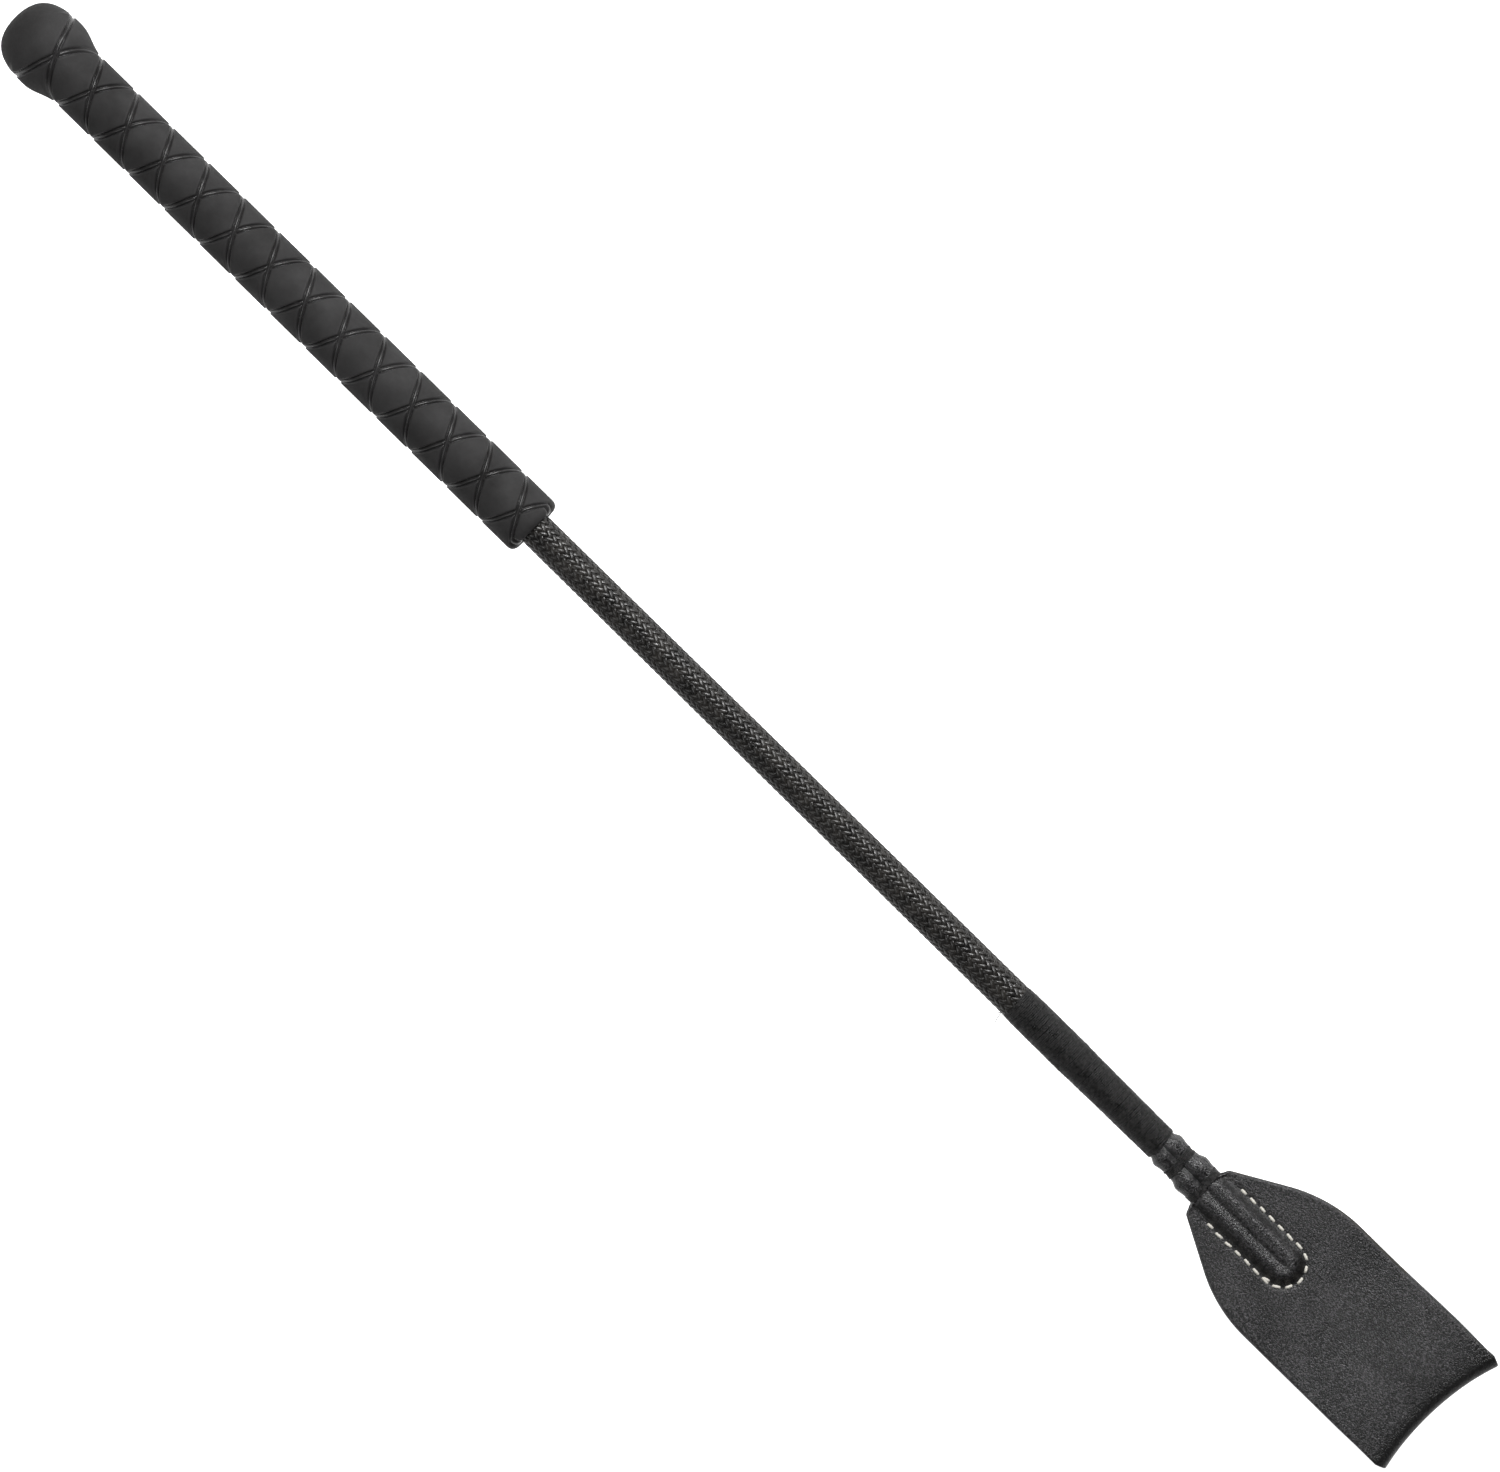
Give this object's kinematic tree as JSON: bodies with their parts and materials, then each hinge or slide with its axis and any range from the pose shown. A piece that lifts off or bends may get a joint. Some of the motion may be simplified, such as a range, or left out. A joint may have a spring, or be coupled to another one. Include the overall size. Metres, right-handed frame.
{
  "type": "riding crop",
  "caption": "Short riding crop with a knobbed rubber grip, a braided shaft, a thread whipping and a broad folded leather tongue that flexes at its seam.",
  "frame": {"origin": "centre of the object's bounding box, on the shaft's axis", "axes": "+X along the shaft from the knob to the tongue, +Y across the tongue, +Z out of the tongue's upper face"},
  "size_m": [0.635, 0.051, 0.0266],
  "materials": {
    "grip_rubber": "matte",
    "braid_nylon": "glossy",
    "binding_thread": "satin",
    "tongue_leather": "satin",
    "seam_thread": "matte",
    "core_fibreglass": "gloss",
    "core_padding": "matte",
    "grip_underwrap": "matte",
    "cap_plastic": "matte"
  },
  "bodies": {
    "crop": {"core_rod": "core_fibreglass", "rod_end_cap": "cap_plastic", "core_filler": "core_padding", "braided_cover": "braid_nylon", "grip_tape": "grip_underwrap", "rubber_grip": "grip_rubber", "loop_lashing": "binding_thread", "keeper_loop": "tongue_leather", "main_whipping": "binding_thread", "neck_binding_rear": "binding_thread", "neck_binding_front": "binding_thread", "tongue_root": "tongue_leather", "seam_stitches_top": "seam_thread", "seam_stitches_under": "seam_thread"},
    "flap": {"tongue_flap": "tongue_leather"}
  },
  "joints": [
    {"name": "flap_bend", "type": "hinge", "parent": "crop", "child": "flap", "pos_m": [0.2571, 0, 0], "axis": [0, 1, 0], "range_deg": [-45, 45], "stiffness_Nm_per_rad": 0.06}
  ]
}
